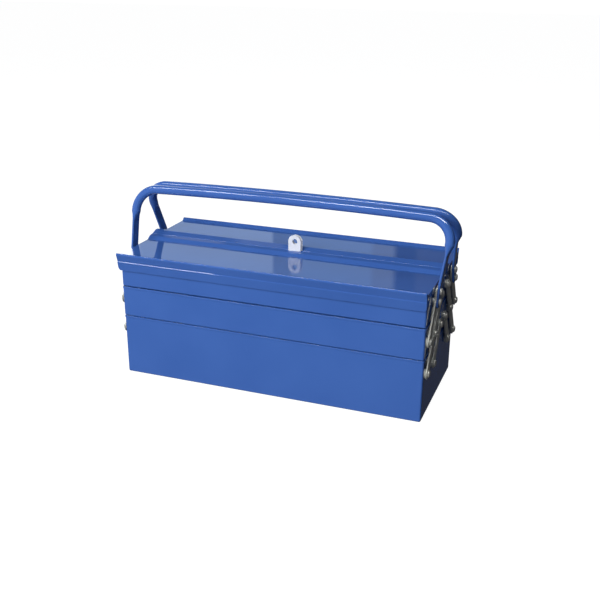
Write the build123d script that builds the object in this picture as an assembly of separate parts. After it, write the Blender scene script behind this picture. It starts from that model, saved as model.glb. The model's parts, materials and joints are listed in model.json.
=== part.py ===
from build123d import *
from math import atan2, cos, degrees, radians, sin
import os

# Cantilever tool box: a base, two middle trays and two lidded top trays that swing out on links.
# Millimetres. X runs along the box, -Y is the front, Z is up, and the origin is the middle of the
# underside. "Out" is the distance from the middle plane, so it means -Y at the front, +Y at the rear.

# Body and trays
SHEET = 0.8                      # thickness of all folded sheet
LENGTH = 480.0                   # outside length of the base and the trays
BASE_DEPTH = 200.0
BASE_HEIGHT = 97.0
TRAY_DEPTH = 100.0
TRAY_PITCH = 49.0                # from one rim to the next
TRAY_SPLIT = 1.0                 # from the middle plane to a tray's inner wall
STACK_GAP = 0.3                  # clearance between a rim and the floor above it
CORNER_RADIUS = 2.6
HEM_HEIGHT = 3.4                 # folded rim
HEM_DEPTH = 1.7
HEM_PROUD = 0.7                  # how far a rim stands out past the wall under it
HEM_INNER_CORNER = 1.2
HEM_EDGE = 0.6

# Swing linkage, seen from the end: (out, height) of each pivot when the box is closed
PIVOT_RISE = 26.0                # pivots stand this high above their tray's floor line
LINK_OFFSET = 33.0               # one pivot to the next along a link, inwards
BASE_LONG_PIVOT = (89.0, 74.0)
BASE_SHORT_PIVOT = (50.0, 74.0)
TRAY_OUTER_PIVOT = (90.0, BASE_HEIGHT + PIVOT_RISE)
LINK_WIDTH = 16.0
LINK_THICKNESS = 2.0
LINK_EDGE = 0.5
LINK_FACE = 242.5                # inner face of every link
RIVET_RADIUS = 2.5
RIVET_HEAD_RADIUS = 5.4
RIVET_HEAD_HEIGHT = 3.0
RIVET_TAIL_RADIUS = 4.4
RIVET_TAIL_HEIGHT = 1.4
RIVET_TAIL_EDGE = 0.6
RIVET_HEAD_FLAT = 0.4            # height of the head's straight rim
RUNNING_CLEARANCE = 0.05
SIDE_PLAY = 0.3                  # between a link, its washer and the rivet head
WASHER_RADIUS = 7.0

# Handles: a bent tube whose legs are pressed flat below the bends
TUBE_RADIUS = 7.0
TUBE_WALL = 1.2
BAR_OUT = 14.2
BAR_HEIGHT = 284.8               # axis of the bar at mid length
BAR_BOW = 3.0                    # the bar's middle stands this much above its ends
BEND_RADIUS = 34.0
LEG_THICKNESS = 3.4
LEG_WIDTH = 18.0
LEG_STRAIGHT = 26.0              # flat length above the pivot before the leg flares
LEG_FLARE = 5.5                  # degrees
LEG_KNEE_RADIUS = 40.0
CROWN_CORNER = (0.55, 0.835)     # where a circle's four arcs meet, over its radius
PRESS_LENGTH = 15.0              # from flat to round
HANDLE_RIVET_RISE = 15.0

# Lids and their hinges
LID_SIDE_GAP = 0.35              # end flange to tray wall
LID_LEVEL = 197.6                # upper face of the lid panel
LID_FLANGE_DEPTH = 8.6
LID_EDGE_LOW = 196.9             # foot of the upright edge at the seam
RIDGE_HEIGHT = 203.3             # both lids meet at this height
FRONT_RIDGE = ((8.6, 201.7),)    # (out, height) along each ridge, from the seam to the panel
REAR_RIDGE = ((12.0, 206.7), (17.0, 206.7))
RIDGE_FOOT = {"front": 7.4, "rear": 21.0}   # run of the last slope down to the panel
LIP_ROOT_OUT = 104.8
LIP_TOP = (110.4, 202.1)
LIP_OUTER = (111.9, 200.2)
SKIRT_LEDGE = ((108.3, 188.6), (109.1, 187.7))   # small pressed step half way down the skirt
SKIRT_END = (106.6, 174.2)
SKIRT_CORNER = 6.0
PIN_OUT = 103.9
PIN_HEIGHT = 176.0
PIN_RADIUS = 1.25
PIN_LENGTH = 472.0
KNUCKLE_RADIUS = 2.2
KNUCKLE_COUNT = 9
KNUCKLE_GAP = 0.4
LEAF_THICKNESS = 1.0
LEAF_LENGTH = 472.0
LEAF_FOOT = 178.5                # the leaves start this high, clear of each other's knuckles
TRAY_LEAF_TOP = 190.0
LID_LEAF_TOP = 186.2
WEB_THICKNESS = 1.2

# Hasp eyes for a padlock
HASP_X = 9.0
HASP_SHIFT = 0.7                 # each eye's outline stands this far off the hole's axis
EYE_WIDTH = 20.0
EYE_HOLE_RADIUS = 4.0
EYE_HOLE_HEIGHT = 218.2
EYE_THICKNESS = 1.5
EYE_FOOT = 197.4
EYE_RIVET_HEIGHT = 199.7
EYE_RIVET_SPREAD = 6.0
EYE_RIVET_BORE = 1.5
EYE_RIVET_SHANK = 1.45
EYE_RIVET_HEAD = (2.4, 0.9)      # radius, height
SEAM_GAP = 0.4                   # from the middle plane to a lid's inner face

# Values that follow from the ones above
WALL_FACE = LENGTH / 2
MIDDLE_FLOOR = BASE_HEIGHT + STACK_GAP
TOP_FLOOR = BASE_HEIGHT + TRAY_PITCH + STACK_GAP
MIDDLE_RIM = BASE_HEIGHT + TRAY_PITCH
TOP_RIM = LID_LEVEL - SHEET - 0.5
MIDDLE_LONG_PIVOT = (BASE_LONG_PIVOT[0] - LINK_OFFSET, BASE_LONG_PIVOT[1] + TRAY_PITCH)
TOP_LONG_PIVOT = (MIDDLE_LONG_PIVOT[0] - LINK_OFFSET, MIDDLE_LONG_PIVOT[1] + TRAY_PITCH)
MIDDLE_SHORT_PIVOT = (BASE_SHORT_PIVOT[0] - LINK_OFFSET, BASE_SHORT_PIVOT[1] + TRAY_PITCH)
TOP_HANDLE_PIVOT = (TRAY_OUTER_PIVOT[0] - LINK_OFFSET, TRAY_OUTER_PIVOT[1] + TRAY_PITCH)
LINK_OUTER_FACE = LINK_FACE + LINK_THICKNESS
LEG_OUTER_FACE = LINK_OUTER_FACE + LEG_THICKNESS
LEG_CENTRE = LINK_OUTER_FACE + LEG_THICKNESS / 2
BORE_RADIUS = RIVET_RADIUS + RUNNING_CLEARANCE
HANDLE_LEAN = atan2(TOP_HANDLE_PIVOT[0] - BAR_OUT, BAR_HEIGHT - TOP_HANDLE_PIVOT[1])
LEG_REACH = (BAR_HEIGHT - TOP_HANDLE_PIVOT[1]) / cos(HANDLE_LEAN)
HANDLE_RIVET = (
    TOP_HANDLE_PIVOT[0] - HANDLE_RIVET_RISE * sin(HANDLE_LEAN),
    TOP_HANDLE_PIVOT[1] + HANDLE_RIVET_RISE * cos(HANDLE_LEAN),
)
LID_FACE = WALL_FACE + LID_SIDE_GAP
LID_HALF_LENGTH = LID_FACE + SHEET

SIDES = ("front", "rear")
ENDS = ("left", "right")


def on_side(part, side):
    """Parts are drawn for the rear, where out is +Y, and mirrored for the front."""
    return part if side == "rear" else mirror(part, about=Plane.XZ)


def at_end(part, end):
    """Parts are drawn for the right end and mirrored for the left."""
    return part if end == "right" else mirror(part, about=Plane.YZ)


def both_ends(part):
    return [at_end(part, end) for end in ENDS]


def axle(pivot, start, length, radius):
    """A cylinder along X, centred on a pivot given as (out, height)."""
    disc = Plane(origin=(start, pivot[0], pivot[1]), z_dir=(1, 0, 0)) * Circle(radius)
    return extrude(disc, amount=length)


def end_bores(pivots):
    """Holes for the pivot rivets through both end walls."""
    reach = 2 * LINK_OUTER_FACE
    return [axle(pivot, -reach / 2, reach, BORE_RADIUS) for pivot in pivots]


def rounded_block(length, depth, height, radius):
    block = Box(length, depth, height, align=(Align.CENTER, Align.CENTER, Align.MIN))
    block = fillet(block.edges().filter_by(Axis.Z), radius)
    return fillet(block.faces().sort_by(Axis.Z)[0].edges(), radius - 0.01)


def open_tray(depth, height, proud):
    """A folded sheet tray with a hemmed rim, standing on Z = 0 and centred on the axes."""
    shell = rounded_block(LENGTH, depth, height, CORNER_RADIUS)
    hollow = rounded_block(LENGTH - 2 * SHEET, depth - 2 * SHEET, height, CORNER_RADIUS - SHEET)
    shell -= Pos(0, 0, SHEET) * hollow
    rim = RectangleRounded(LENGTH + 2 * proud, depth + 2 * proud, CORNER_RADIUS + proud)
    rim -= RectangleRounded(LENGTH + 2 * (proud - HEM_DEPTH), depth + 2 * (proud - HEM_DEPTH), HEM_INNER_CORNER)
    hem = extrude(rim, amount=HEM_HEIGHT)
    hem = fillet(hem.faces().sort_by(Axis.Z)[-1].edges(), HEM_EDGE)
    if proud > 0:
        hem = chamfer(hem.faces().sort_by(Axis.Z)[0].outer_wire().edges(), proud - 0.1)
    return shell + Pos(0, 0, height - HEM_HEIGHT) * hem


def base_box():
    box = open_tray(BASE_DEPTH, BASE_HEIGHT, HEM_PROUD)
    for side in SIDES:
        for bore in end_bores([BASE_LONG_PIVOT, BASE_SHORT_PIVOT]):
            box -= on_side(bore, side)
    return box


def middle_tray():
    tray = open_tray(TRAY_DEPTH, MIDDLE_RIM - MIDDLE_FLOOR, HEM_PROUD)
    tray = Pos(0, TRAY_SPLIT + TRAY_DEPTH / 2, MIDDLE_FLOOR) * tray
    return tray - end_bores([MIDDLE_LONG_PIVOT, MIDDLE_SHORT_PIVOT, TRAY_OUTER_PIVOT])


def top_tray():
    tray = open_tray(TRAY_DEPTH, TOP_RIM - TOP_FLOOR, 0.0)
    tray = Pos(0, TRAY_SPLIT + TRAY_DEPTH / 2, TOP_FLOOR) * tray
    return tray - end_bores([TOP_LONG_PIVOT, TOP_HANDLE_PIVOT])


def link_plate(pivots):
    """A flat link with rounded ends through the given pivots, on the right end."""
    plate = None
    for first, second in zip(pivots, pivots[1:]):
        centre = ((first[0] + second[0]) / 2, (first[1] + second[1]) / 2)
        run = (second[0] - first[0], second[1] - first[1])
        spacing = (run[0] ** 2 + run[1] ** 2) ** 0.5
        turn = degrees(atan2(run[1], run[0]))
        bar = Pos(*centre) * Rot(0, 0, turn) * SlotCenterToCenter(spacing, LINK_WIDTH)
        plate = bar if plate is None else plate + bar
    for pivot in pivots:
        plate -= Pos(*pivot) * Circle(BORE_RADIUS)
    facing_x = Plane(origin=(LINK_FACE, 0, 0), x_dir=(0, 1, 0), z_dir=(1, 0, 0))
    solid = extrude(facing_x * plate, amount=LINK_THICKNESS)
    outer_loop = solid.faces().sort_by(Axis.X)[-1].outer_wire().edges()
    return fillet(outer_loop, LINK_EDGE)


def long_link():
    return link_plate([BASE_LONG_PIVOT, MIDDLE_LONG_PIVOT, TOP_LONG_PIVOT])


def short_link():
    return link_plate([BASE_SHORT_PIVOT, MIDDLE_SHORT_PIVOT])


def handle_link():
    return link_plate([TRAY_OUTER_PIVOT, TOP_HANDLE_PIVOT, HANDLE_RIVET])


def rivet(pivot, tail_face, head_face):
    """A round-headed rivet from a tail inside tail_face to a head outside head_face."""
    shank = axle(pivot, tail_face, head_face - tail_face, RIVET_RADIUS)
    tail = axle(pivot, tail_face - RIVET_TAIL_HEIGHT, RIVET_TAIL_HEIGHT, RIVET_TAIL_RADIUS)
    tail = fillet(tail.faces().sort_by(Axis.X)[0].edges(), RIVET_TAIL_EDGE)
    head = axle(pivot, head_face, RIVET_HEAD_HEIGHT, RIVET_HEAD_RADIUS)
    head = fillet(head.faces().sort_by(Axis.X)[-1].edges(), RIVET_HEAD_HEIGHT - RIVET_HEAD_FLAT)
    return shank + tail + head


def pivot_rivets(pivots, outer_face):
    """Rivets at both ends that carry links on a wall."""
    inside = WALL_FACE - SHEET
    rivets = []
    for pivot in pivots:
        rivets += both_ends(rivet(pivot, inside, outer_face + SIDE_PLAY))
    return rivets


def washers(pivots):
    """Spacing washers between the wall and the links, at both ends."""
    thickness = LINK_FACE - SIDE_PLAY - WALL_FACE
    rings = []
    for pivot in pivots:
        disc = axle(pivot, WALL_FACE, thickness, WASHER_RADIUS)
        disc = fillet(disc.faces().sort_by(Axis.X)[-1].edges(), 0.4)
        rings += both_ends(disc - axle(pivot, WALL_FACE, thickness, BORE_RADIUS))
    return rings


def handle_rivets():
    """Second rivet of each leg, which holds it rigid on its link."""
    tail_height = 0.8
    shank_start = LINK_FACE
    shank = axle(HANDLE_RIVET, shank_start, LEG_OUTER_FACE - shank_start, RIVET_RADIUS)
    tail = axle(HANDLE_RIVET, LINK_FACE - tail_height, tail_height, RIVET_TAIL_RADIUS)
    head = axle(HANDLE_RIVET, LEG_OUTER_FACE, RIVET_HEAD_HEIGHT, RIVET_HEAD_RADIUS)
    head = fillet(head.faces().sort_by(Axis.X)[-1].edges(), RIVET_HEAD_HEIGHT - RIVET_HEAD_FLAT)
    return both_ends(shank + tail + head)


def tube_section(half_across, half_along, crowned):
    """A four-sided outline: pressed flat, or with crowned sides that make it a circle."""
    if crowned:
        corner = (half_across * CROWN_CORNER[0], half_along * CROWN_CORNER[1])
    else:
        corner = (half_across, half_along - half_across)
    right, top = corner
    crown = half_across if crowned else right
    tip = half_along
    outline = ThreePointArc((-right, top), (0, tip), (right, top))
    outline += side_edge((right, top), (crown, 0), (right, -top))
    outline += ThreePointArc((right, -top), (0, -tip), (-right, -top))
    outline += side_edge((-right, -top), (-crown, 0), (-right, top))
    return make_face(outline)


def side_edge(start, middle, end):
    straight = abs(start[0] - middle[0]) < 1e-6
    return Line(start, end) if straight else ThreePointArc(start, middle, end)


def handle():
    """Half the bar and a leg, drawn in their leaning plane with Y up the leg, then mirrored."""
    flare = radians(LEG_FLARE)
    bow_end = 2 * atan2(BAR_BOW, LEG_CENTRE - BEND_RADIUS)
    # the bend turns from the leg's direction to the slightly rising bar
    bend_high = LEG_REACH - BAR_BOW
    bend_low = bend_high - BEND_RADIUS * (cos(bow_end) + sin(flare))
    leg_x = LEG_CENTRE + (bend_low - LEG_STRAIGHT) * sin(flare) / cos(flare)
    centre_x = leg_x - BEND_RADIUS * cos(flare)
    bow_radius = (centre_x + BEND_RADIUS * sin(bow_end)) / sin(bow_end)
    bend_middle = (
        centre_x + BEND_RADIUS * cos(radians(45)),
        bend_high - BEND_RADIUS * (cos(bow_end) - sin(radians(45))),
    )
    bar = CenterArc((0, LEG_REACH - bow_radius), bow_radius, 90 - degrees(bow_end), degrees(bow_end))
    bend = ThreePointArc((leg_x, bend_low), bend_middle, bar @ 0)
    path = Wire([bend.edge(), bar.edge()])
    start = Plane(origin=(leg_x, bend_low, 0), x_dir=(cos(flare), -sin(flare), 0),
                  z_dir=(sin(flare), cos(flare), 0))
    full = tube_section(TUBE_RADIUS, TUBE_RADIUS, crowned=True)
    tube = sweep(start * full, path=path)
    inside = sweep(start * Circle(TUBE_RADIUS - TUBE_WALL), path=path)

    # flat leg: up from the pivot, then flared out to where the tube is still round
    press_low = bend_low - PRESS_LENGTH * cos(flare)
    press_x = leg_x - PRESS_LENGTH * sin(flare)
    leg_path = FilletPolyline(
        (LEG_CENTRE, 0), (LEG_CENTRE, LEG_STRAIGHT), (press_x, press_low), radius=LEG_KNEE_RADIUS
    )
    flat = tube_section(LEG_THICKNESS / 2, LEG_WIDTH / 2, crowned=False)
    leg_start = Plane(origin=(LEG_CENTRE, 0, 0), x_dir=(1, 0, 0), z_dir=(0, 1, 0))
    leg = sweep(leg_start * flat, path=leg_path.wire())
    press_plane = Plane(origin=(press_x, press_low, 0), x_dir=start.x_dir, z_dir=start.z_dir)
    leg += loft([press_plane * flat, start * full])
    foot = Plane(origin=(LINK_OUTER_FACE, 0, 0), z_dir=(1, 0, 0)) * Circle(LEG_WIDTH / 2)
    foot = extrude(foot, amount=LEG_THICKNESS)
    foot = fillet(foot.edges().filter_by(GeomType.CIRCLE), LEG_THICKNESS / 2 - 0.2)
    leg += foot
    for rise in (0, HANDLE_RIVET_RISE):
        bore = Plane(origin=(LINK_FACE, rise, 0), z_dir=(1, 0, 0)) * Circle(BORE_RADIUS)
        leg -= extrude(bore, amount=2 * LEG_THICKNESS + LINK_THICKNESS)
    half = tube - inside + leg
    drawn = half + mirror(half, about=Plane.YZ)
    up_the_leg = Vector(0, -sin(HANDLE_LEAN), cos(HANDLE_LEAN))
    leaning = Plane(origin=(0, *TOP_HANDLE_PIVOT), x_dir=(1, 0, 0), z_dir=Vector(1, 0, 0).cross(up_the_leg))
    return leaning * drawn


def folded_sheet(points, length, bend=1.0, thickness=SHEET):
    """Sheet folded along (out, height) points on its middle line, extruded along X."""
    line = FilletPolyline(*points, radius=bend)
    strip = Plane(origin=(-length / 2, 0, 0), x_dir=(0, 1, 0), z_dir=(1, 0, 0)) * trace(line, thickness)
    return extrude(strip, amount=length)


def lid(side):
    inner = SEAM_GAP + SHEET / 2
    panel = LID_LEVEL - SHEET / 2
    profile = FRONT_RIDGE if side == "front" else REAR_RIDGE
    foot = (profile[-1][0] + RIDGE_FOOT[side], panel)
    ridge = [(inner, LID_EDGE_LOW), (inner, RIDGE_HEIGHT), *profile, foot]
    outline = ridge + [(LIP_ROOT_OUT, panel), LIP_TOP, LIP_OUTER, *SKIRT_LEDGE, SKIRT_END]
    cover = folded_sheet(outline, 2 * LID_HALF_LENGTH, bend=0.7)
    for corner in both_ends(skirt_corner()):
        cover -= corner
    # end flanges close the lid down over the tray's end walls
    flange = [(inner, LID_LEVEL - LID_FLANGE_DEPTH)] + ridge[1:] + [(LIP_ROOT_OUT - 1, panel)]
    flange.append((LIP_ROOT_OUT - 1, LID_LEVEL - LID_FLANGE_DEPTH))
    face = make_face(Polyline(*flange, close=True))
    placed = Plane(origin=(LID_FACE, 0, 0), x_dir=(0, 1, 0), z_dir=(1, 0, 0)) * face
    cover += both_ends(extrude(placed, amount=SHEET))
    slot_width = EYE_WIDTH + 2 * HASP_SHIFT + 0.6
    slot = Box(slot_width, EYE_THICKNESS + 0.3, 12, align=(Align.CENTER, Align.CENTER, Align.MIN))
    eye_out = SEAM_GAP + SHEET + EYE_THICKNESS / 2
    cover -= Pos(HASP_X, eye_out, RIDGE_HEIGHT - 1.5) * slot
    cover -= hasp_rivet_bores()
    return on_side(cover, side)


def skirt_corner():
    """What is cut away to round the skirt's lower corner, at the right end."""
    size = SKIRT_CORNER
    low = SKIRT_END[1] - SHEET
    block = Box(2 * size, 2 * size, 2 * size, align=(Align.MIN, Align.CENTER, Align.MAX))
    core = Cylinder(size, 4 * size, rotation=(90, 0, 0))
    centre = Pos(LID_HALF_LENGTH - size, SKIRT_END[0], low + size)
    return centre * block - centre * core


def hasp_rivet_points():
    return [(HASP_X + offset, EYE_RIVET_HEIGHT) for offset in (-EYE_RIVET_SPREAD, EYE_RIVET_SPREAD)]


def hasp_rivet_bores():
    bores = []
    for x, height in hasp_rivet_points():
        disc = Plane(origin=(x, 0, height), z_dir=(0, 1, 0)) * Circle(EYE_RIVET_BORE)
        bores.append(extrude(disc, amount=8))
    return bores


def hasp_rivets():
    rivets = []
    head_radius, head_height = EYE_RIVET_HEAD
    for x, height in hasp_rivet_points():
        start = Plane(origin=(x, SEAM_GAP + 0.05, height), z_dir=(0, 1, 0))
        grip = SHEET + EYE_THICKNESS
        shank = extrude(start * Circle(EYE_RIVET_SHANK), amount=grip)
        head = extrude(start.offset(grip) * Circle(head_radius), amount=head_height)
        rivets.append(shank + fillet(head.faces().sort_by(Axis.Y)[-1].edges(), 0.5))
    return rivets


def hasp_eye(side):
    """A plate with a half-round top and a padlock hole, standing up through the lid's ridge."""
    shift = HASP_SHIFT if side == "rear" else -HASP_SHIFT
    inner = SEAM_GAP + SHEET
    width = EYE_WIDTH / 2
    left, right = (-width, EYE_HOLE_HEIGHT), (width, EYE_HOLE_HEIGHT)
    outline = Polyline(left, (-width, EYE_FOOT), (width, EYE_FOOT), right)
    outline += ThreePointArc(right, (0, EYE_HOLE_HEIGHT + width), left)
    face = Plane(origin=(HASP_X + shift, inner, 0), x_dir=(1, 0, 0), z_dir=(0, -1, 0)) * make_face(outline)
    plate = extrude(face, amount=-EYE_THICKNESS)
    hole = Plane(origin=(HASP_X, 0, EYE_HOLE_HEIGHT), z_dir=(0, 1, 0)) * Circle(EYE_HOLE_RADIUS)
    plate -= extrude(hole, amount=8)
    plate -= hasp_rivet_bores()
    return on_side(plate, side)


def knuckles(parity):
    """Hinge barrel lengths that alternate between the two leaves."""
    pitch = PIN_LENGTH / KNUCKLE_COUNT
    rings = []
    for index in range(parity, KNUCKLE_COUNT, 2):
        start = -PIN_LENGTH / 2 + index * pitch + KNUCKLE_GAP / 2
        rings.append((start, pitch - KNUCKLE_GAP))
    return rings


def knuckle_bore():
    radius = PIN_RADIUS + RUNNING_CLEARANCE
    return axle((PIN_OUT, PIN_HEIGHT), -LENGTH, 2 * LENGTH, radius)


def tray_hinge_leaf():
    """Leaf on the tray's outer wall, behind the lid's skirt, with every other knuckle at its foot."""
    wall = TRAY_SPLIT + TRAY_DEPTH
    corner = (Align.MIN, Align.MIN, Align.MIN)
    leaf = Pos(-LEAF_LENGTH / 2, wall, LEAF_FOOT)
    leaf *= Box(LEAF_LENGTH, LEAF_THICKNESS, TRAY_LEAF_TOP - LEAF_FOOT, align=corner)
    for start, length in knuckles(0):
        leaf += axle((PIN_OUT, PIN_HEIGHT), start, length, KNUCKLE_RADIUS)
        web = Box(length, WEB_THICKNESS, LEAF_FOOT + 1 - PIN_HEIGHT, align=corner)
        leaf += Pos(start, wall, PIN_HEIGHT) * web
    return leaf - knuckle_bore()


def skirt_inside(height):
    """Where the middle of the lid's leaf lies, flat on the inside of the skirt."""
    top = SKIRT_LEDGE[-1]
    slope = (top[0] - SKIRT_END[0]) / (top[1] - SKIRT_END[1])
    inset = ((SHEET + LEAF_THICKNESS) / 2 + 0.02) * (1 + slope**2) ** 0.5
    return (SKIRT_END[0] + slope * (height - SKIRT_END[1]) - inset, height)


def lid_hinge_leaf():
    """Leaf inside the lid's skirt, with the knuckles between those of the tray's leaf."""
    leaf = leaf_strip(LEAF_FOOT, LID_LEAF_TOP, -LEAF_LENGTH / 2, LEAF_LENGTH)
    for start, length in knuckles(1):
        leaf += axle((PIN_OUT, PIN_HEIGHT), start, length, KNUCKLE_RADIUS)
        leaf += leaf_strip(PIN_HEIGHT - 0.6, LEAF_FOOT + 1, start, length)
    return leaf - knuckle_bore()


def leaf_strip(low, high, start, length):
    strip = trace(Line(skirt_inside(high), skirt_inside(low)), LEAF_THICKNESS)
    placed = Plane(origin=(start, 0, 0), x_dir=(0, 1, 0), z_dir=(1, 0, 0)) * strip
    return extrude(placed, amount=length)


def hinge_pin():
    return axle((PIN_OUT, PIN_HEIGHT), -PIN_LENGTH / 2, PIN_LENGTH, PIN_RADIUS)


def write(name, shapes):
    """One STEP file per node; a list becomes a group of separate solids."""
    shape = Compound(children=list(shapes)) if isinstance(shapes, list) else shapes
    export_step(shape, os.path.join("parts", name + ".step"))


def main():
    os.makedirs("parts", exist_ok=True)
    base_pivots = [BASE_LONG_PIVOT, BASE_SHORT_PIVOT]
    middle_pivots = [MIDDLE_LONG_PIVOT, MIDDLE_SHORT_PIVOT, TRAY_OUTER_PIVOT]
    top_pivots = [TOP_LONG_PIVOT, TOP_HANDLE_PIVOT]
    write("base_box", base_box())
    base_rivets = pivot_rivets(base_pivots, LINK_OUTER_FACE)
    base_washers = washers(base_pivots)
    write("base_pivot_rivets", [on_side(part, side) for side in SIDES for part in base_rivets])
    write("base_pivot_washers", [on_side(part, side) for side in SIDES for part in base_washers])

    long_rivet = pivot_rivets([TOP_LONG_PIVOT], LINK_OUTER_FACE)
    handle_pivot_rivet = pivot_rivets([TOP_HANDLE_PIVOT], LEG_OUTER_FACE)
    sided = {
        "middle_tray": middle_tray(),
        "middle_tray_rivets": pivot_rivets(middle_pivots, LINK_OUTER_FACE),
        "middle_tray_washers": washers(middle_pivots),
        "top_tray": top_tray(),
        "top_tray_rivets": long_rivet + handle_pivot_rivet,
        "top_tray_washers": washers(top_pivots),
        "hinge_leaf_tray": tray_hinge_leaf(),
        "hinge_pin": hinge_pin(),
        "hinge_leaf_lid": lid_hinge_leaf(),
        "hasp_rivets": hasp_rivets(),
        "handle": handle(),
        "handle_rivets": handle_rivets(),
    }
    links = {"long_link": long_link(), "short_link": short_link(), "handle_link": handle_link()}
    for side in SIDES:
        for name, shapes in sided.items():
            parts = shapes if isinstance(shapes, list) else [shapes]
            placed = [on_side(part, side) for part in parts]
            write(f"{side}_{name}", placed if isinstance(shapes, list) else placed[0])
        for name, plate in links.items():
            for end in ENDS:
                write(f"{side}_{name}_{end}", on_side(at_end(plate, end), side))
        write(f"{side}_lid", lid(side))
        write(f"{side}_hasp_eye", hasp_eye(side))


main()
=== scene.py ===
import json
import math

import bmesh
import bpy
from mathutils import Matrix, Vector

# Cantilever tool box in blue gloss enamel. Metres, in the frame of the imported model.

# Camera: the viewing angle and lens of the picture being matched
CAMERA_PLACE = Vector((0.4691, -1.2135, 0.6160))
CAMERA_AZIMUTH = 20.43
CAMERA_ELEVATION = 20.85
CAMERA_ROLL = 0.39
LENS = 52.92
SENSOR_WIDTH = 36.0

FLOOR_HALF = 12.0                # half the floor's side
FLOOR_DROP = 0.0004              # the floor lies this far under the box
SHARP_ANGLE = 40.0               # folds steeper than this keep a crisp edge


# ---------------------------------------------------------------- node helpers
def new_material(name):
    material = bpy.data.materials.new(name)
    material.use_nodes = True
    tree = material.node_tree
    tree.nodes.clear()
    out = tree.nodes.new("ShaderNodeOutputMaterial")
    shader = tree.nodes.new("ShaderNodeBsdfPrincipled")
    tree.links.new(shader.outputs["BSDF"], out.inputs["Surface"])
    return material, tree, shader


def coordinates(tree, scale=(1.0, 1.0, 1.0)):
    place = tree.nodes.new("ShaderNodeTexCoord")
    mapping = tree.nodes.new("ShaderNodeMapping")
    mapping.inputs["Scale"].default_value = scale
    tree.links.new(place.outputs["Object"], mapping.inputs["Vector"])
    return mapping.outputs["Vector"]


def noise(tree, vector, scale, detail=2.0, roughness=0.5):
    node = tree.nodes.new("ShaderNodeTexNoise")
    node.inputs["Scale"].default_value = scale
    node.inputs["Detail"].default_value = detail
    node.inputs["Roughness"].default_value = roughness
    tree.links.new(vector, node.inputs["Vector"])
    return node.outputs["Fac"]


def ramp(tree, value, stops):
    node = tree.nodes.new("ShaderNodeValToRGB")
    node.color_ramp.interpolation = "LINEAR"
    elements = node.color_ramp.elements
    while len(elements) > 1:
        elements.remove(elements[-1])
    elements[0].position = stops[0][0]
    elements[0].color = shade(stops[0][1])
    for position, colour in stops[1:]:
        elements.new(position).color = shade(colour)
    tree.links.new(value, node.inputs["Fac"])
    return node.outputs["Color"]


def shade(colour):
    if isinstance(colour, (int, float)):
        return (colour, colour, colour, 1.0)
    return (*colour, 1.0)


def bump(tree, shader, height, strength, distance, earlier=None):
    node = tree.nodes.new("ShaderNodeBump")
    node.inputs["Strength"].default_value = strength
    node.inputs["Distance"].default_value = distance
    tree.links.new(height, node.inputs["Height"])
    if earlier is not None:
        tree.links.new(earlier, node.inputs["Normal"])
    tree.links.new(node.outputs["Normal"], shader.inputs["Normal"])
    return node.outputs["Normal"]


# ---------------------------------------------------------------- materials
def blue_enamel(name, deep, pale):
    """Baked gloss enamel: a slight unevenness of colour, orange peel and faint rub marks."""
    material, tree, shader = new_material(name)
    where = coordinates(tree)
    cloud = noise(tree, where, 9.0, detail=3.0)
    tree.links.new(ramp(tree, cloud, [(0.3, deep), (0.7, pale)]), shader.inputs["Base Color"])
    handled = noise(tree, where, 38.0, detail=4.0, roughness=0.6)
    tree.links.new(ramp(tree, handled, [(0.35, 0.20), (0.75, 0.32)]), shader.inputs["Roughness"])
    peel = noise(tree, where, 420.0, detail=1.0)
    wave = noise(tree, where, 14.0, detail=1.0)
    soft = bump(tree, shader, wave, 0.06, 0.0005)
    bump(tree, shader, peel, 0.02, 0.00006, earlier=soft)
    shader.inputs["Coat Weight"].default_value = 1.0
    shader.inputs["Coat Roughness"].default_value = 0.02
    shader.inputs["Specular IOR Level"].default_value = 0.0
    return material


def plated_steel(name, dark, light, roughness, grain_scale):
    """Zinc-plated strip: mottled, lightly drawn along its length."""
    material, tree, shader = new_material(name)
    where = coordinates(tree)
    patches = noise(tree, where, 60.0, detail=4.0, roughness=0.65)
    tree.links.new(ramp(tree, patches, [(0.3, dark), (0.72, light)]), shader.inputs["Base Color"])
    drawn = noise(tree, coordinates(tree, grain_scale), 30.0, detail=3.0, roughness=0.7)
    low, high = roughness
    tree.links.new(ramp(tree, drawn, [(0.3, low), (0.7, high)]), shader.inputs["Roughness"])
    bump(tree, shader, drawn, 0.3, 0.0001)
    shader.inputs["Metallic"].default_value = 0.35
    return material


def studio_floor():
    material, tree, shader = new_material("floor_white")
    where = coordinates(tree)
    tone = noise(tree, where, 2.0)
    tree.links.new(ramp(tree, tone, [(0.0, 0.16), (1.0, 0.18)]), shader.inputs["Base Color"])
    shader.inputs["Roughness"].default_value = 0.9
    shader.inputs["Specular IOR Level"].default_value = 0.0
    shader.inputs["Emission Color"].default_value = (1.0, 1.0, 1.0, 1.0)
    shader.inputs["Emission Strength"].default_value = 0.97
    return material


# ---------------------------------------------------------------- stage
def make_camera():
    azimuth = math.radians(CAMERA_AZIMUTH)
    elevation = math.radians(CAMERA_ELEVATION)
    roll = math.radians(CAMERA_ROLL)
    back = Vector((math.sin(azimuth) * math.cos(elevation),
                   -math.cos(azimuth) * math.cos(elevation),
                   math.sin(elevation)))
    level_right = Vector((math.cos(azimuth), math.sin(azimuth), 0.0))
    level_up = back.cross(level_right)
    right = math.cos(roll) * level_right + math.sin(roll) * level_up
    up = math.cos(roll) * level_up - math.sin(roll) * level_right
    data = bpy.data.cameras.new("camera")
    data.lens = LENS
    data.sensor_width = SENSOR_WIDTH
    camera = bpy.data.objects.new("camera", data)
    bpy.context.scene.collection.objects.link(camera)
    turn = Matrix((right, up, back)).transposed().to_4x4()
    camera.matrix_world = Matrix.Translation(CAMERA_PLACE) @ turn
    bpy.context.scene.camera = camera


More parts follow.
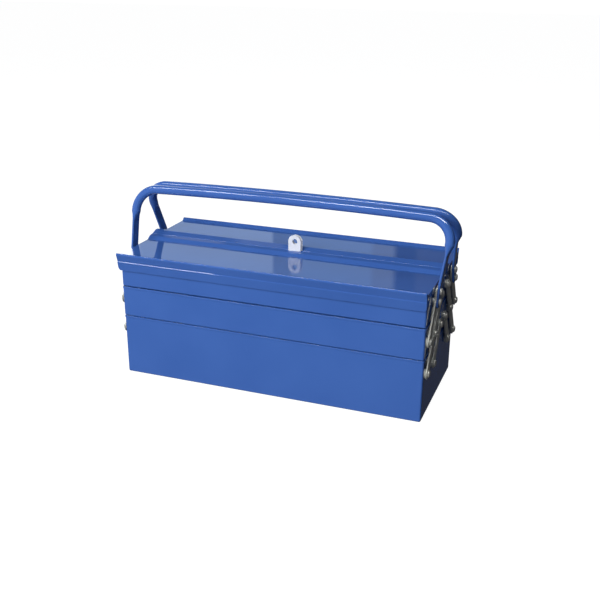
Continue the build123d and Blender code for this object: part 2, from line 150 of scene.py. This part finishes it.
def make_floor():
    mesh = bpy.data.meshes.new("floor")
    corners = [
        (-FLOOR_HALF, -FLOOR_HALF, 0),
        (FLOOR_HALF, -FLOOR_HALF, 0),
        (FLOOR_HALF, FLOOR_HALF, 0),
        (-FLOOR_HALF, FLOOR_HALF, 0),
    ]
    mesh.from_pydata(corners, [], [(0, 1, 2, 3)])
    floor = bpy.data.objects.new("floor", mesh)
    bpy.context.scene.collection.objects.link(floor)
    floor.location.z = -FLOOR_DROP
    floor.data.materials.append(studio_floor())
    floor.visible_glossy = False
    floor.visible_diffuse = False


def softbox(name, place, target, size, power, seen_by):
    """An area light that either lights the surfaces or shows in their gloss."""
    data = bpy.data.lights.new(name, "AREA")
    data.shape = "RECTANGLE"
    data.size, data.size_y = size
    data.energy = power
    lamp = bpy.data.objects.new(name, data)
    bpy.context.scene.collection.objects.link(lamp)
    lamp.location = place
    lamp.rotation_euler = (Vector(target) - Vector(place)).to_track_quat("-Z", "Y").to_euler()
    lamp.visible_diffuse = seen_by == "surfaces"
    lamp.visible_glossy = seen_by == "gloss"


def product(tree, first, second):
    node = tree.nodes.new("ShaderNodeMix")
    node.data_type = "RGBA"
    node.blend_type = "MULTIPLY"
    node.inputs["Factor"].default_value = 1.0
    tree.links.new(first, node.inputs["A"])
    tree.links.new(second, node.inputs["B"])
    return node.outputs["Result"]


def sweep_ramp(tree, heading, span, stops):
    """Colours by compass heading in degrees, over a span of headings."""
    low, high = span
    turn = tree.nodes.new("ShaderNodeMapRange")
    turn.inputs["From Min"].default_value = math.radians(low)
    turn.inputs["From Max"].default_value = math.radians(high)
    tree.links.new(heading, turn.inputs["Value"])
    along = [((at - low) / (high - low), colour) for at, colour in stops]
    return ramp(tree, turn.outputs["Result"], along)


def make_world():
    """A pale room: bright behind and to the left, dark to the right, plain white to the camera."""
    world = bpy.data.worlds.new("studio")
    bpy.context.scene.world = world
    world.use_nodes = True
    tree = world.node_tree
    tree.nodes.clear()
    out = tree.nodes.new("ShaderNodeOutputWorld")
    place = tree.nodes.new("ShaderNodeTexCoord")
    split = tree.nodes.new("ShaderNodeSeparateXYZ")
    tree.links.new(place.outputs["Generated"], split.inputs["Vector"])
    heading = tree.nodes.new("ShaderNodeMath")
    heading.operation = "ARCTAN2"
    tree.links.new(split.outputs["X"], heading.inputs[0])
    tree.links.new(split.outputs["Y"], heading.inputs[1])
    # all the way round: dark to the right, pale behind the camera and to the left
    around = sweep_ramp(tree, heading.outputs[0], (-180, 180), [
        (-180, (0.30, 0.32, 0.36)), (-120, (0.45, 0.48, 0.54)), (-80, (0.7, 0.75, 0.85)),
        (-40, (1.0, 1.0, 1.0)), (-10, (1.0, 1.0, 1.0)), (10, (0.8, 0.8, 0.9)),
        (35, (0.3, 0.3, 0.4)), (100, (0.3, 0.3, 0.4)), (135, (1.2, 1.2, 1.4)),
        (180, (3.0, 3.2, 3.6)),
    ])
    # the wall behind the box, seen in the lids: a bright window, pale panels and darker gaps
    window = (5.0, 5.0, 5.0)
    pale = (0.69, 0.86, 1.08)
    soft = (0.44, 0.59, 0.80)
    gap = (0.28, 0.36, 0.45)
    dim = (0.40, 0.46, 0.50)
    dark = (0.05, 0.05, 0.05)
    behind = sweep_ramp(tree, heading.outputs[0], (-36, -10), [
        (-36, (1.0, 1.0, 1.0)), (-35, window), (-31.9, window), (-31.2, pale),
        (-22.4, pale), (-22.2, gap), (-21.2, gap), (-21.0, soft), (-15.7, soft),
        (-15.4, dim), (-14.2, dim), (-13.8, dark), (-12.7, dark),
        (-12.4, (0.12, 0.12, 0.12)), (-10, (0.1, 0.1, 0.1)),
    ])
    walls = product(tree, around, behind)
    lift = tree.nodes.new("ShaderNodeMapRange")
    lift.inputs["From Min"].default_value = -1.0
    lift.inputs["From Max"].default_value = 1.0
    tree.links.new(split.outputs["Z"], lift.inputs["Value"])
    level = ramp(tree, lift.outputs[0], [
        (0.0, 0.35), (0.45, 0.7), (0.5, 1.0), (0.72, 1.0), (0.78, 0.12), (1.0, 0.06),
    ])
    room = tree.nodes.new("ShaderNodeBackground")
    tree.links.new(product(tree, walls, level), room.inputs["Color"])
    white = tree.nodes.new("ShaderNodeBackground")
    white.inputs["Color"].default_value = (1.0, 1.0, 1.0, 1.0)
    white.inputs["Strength"].default_value = 1.05
    path = tree.nodes.new("ShaderNodeLightPath")
    choose = tree.nodes.new("ShaderNodeMixShader")
    tree.links.new(path.outputs["Is Camera Ray"], choose.inputs["Fac"])
    tree.links.new(room.outputs[0], choose.inputs[1])
    tree.links.new(white.outputs[0], choose.inputs[2])
    tree.links.new(choose.outputs[0], out.inputs["Surface"])


def light_stage():
    make_floor()
    make_world()
    softbox("gloss_strip", (0.1, -0.75, 1.9), (0.0, 0.0, 0.2), (3.6, 0.22), 62.0, "gloss")
    softbox("front_fill", (-0.6, -2.2, 1.2), (0.0, 0.0, 0.1), (2.0, 1.2), 78.0, "surfaces")
    softbox("top_fill", (0.0, 0.3, 2.4), (0.0, 0.0, 0.1), (2.2, 2.2), 20.0, "surfaces")
    softbox("right_fill", (2.4, -0.6, 0.9), (0.0, 0.0, 0.15), (1.0, 1.0), 3.2, "surfaces")
    bpy.context.scene.view_settings.view_transform = "Standard"
    bpy.context.scene.view_settings.look = "None"


# ---------------------------------------------------------------- the object
def soften(item):
    """Smooth shading that keeps the folds crisp: a weighted normal per face."""
    for face in item.data.polygons:
        face.use_smooth = True
    edges = item.modifiers.new("soft_edges", "WEIGHTED_NORMAL")
    edges.keep_sharp = True
    edges.weight = 80
    sharp = math.radians(SHARP_ANGLE)
    mesh = bmesh.new()
    mesh.from_mesh(item.data)
    flags = [edge.calc_face_angle(math.pi) > sharp for edge in mesh.edges]
    mesh.free()
    for edge, flag in zip(item.data.edges, flags):
        edge.use_edge_sharp = flag


def dress_frame(frame):
    """Gives each CAD node its finish."""
    finishes = {
        "blue_paint": blue_enamel(
            "blue_enamel", (0.036, 0.103, 0.355), (0.043, 0.116, 0.383)),
        "zinc_steel": plated_steel(
            "zinc_strip", (0.38, 0.39, 0.35), (0.58, 0.58, 0.53), (0.38, 0.55), (1, 40, 4)),
        "rivet_steel": plated_steel(
            "rivet_plate", (0.36, 0.36, 0.33), (0.52, 0.52, 0.48), (0.34, 0.48), (1, 8, 8)),
        "hasp_zinc": plated_steel(
            "hasp_bright", (0.84, 0.85, 0.87), (0.95, 0.96, 0.97), (0.36, 0.5), (4, 1, 30)),
    }
    slots = {entry["node"]: entry["material_slot"] for entry in frame["record"]["subparts"]}
    for name, node in frame["nodes"].items():
        node.data.materials.clear()
        node.data.materials.append(finishes[slots[name]])
        soften(node)


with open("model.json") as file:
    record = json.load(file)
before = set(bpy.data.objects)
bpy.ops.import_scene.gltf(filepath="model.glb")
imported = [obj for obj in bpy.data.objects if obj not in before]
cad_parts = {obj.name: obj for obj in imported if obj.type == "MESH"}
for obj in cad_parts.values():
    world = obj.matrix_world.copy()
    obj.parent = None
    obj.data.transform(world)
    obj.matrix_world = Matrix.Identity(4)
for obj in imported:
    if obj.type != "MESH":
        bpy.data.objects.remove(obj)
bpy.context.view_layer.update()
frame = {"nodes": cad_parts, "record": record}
make_camera()
light_stage()
dress_frame(frame)
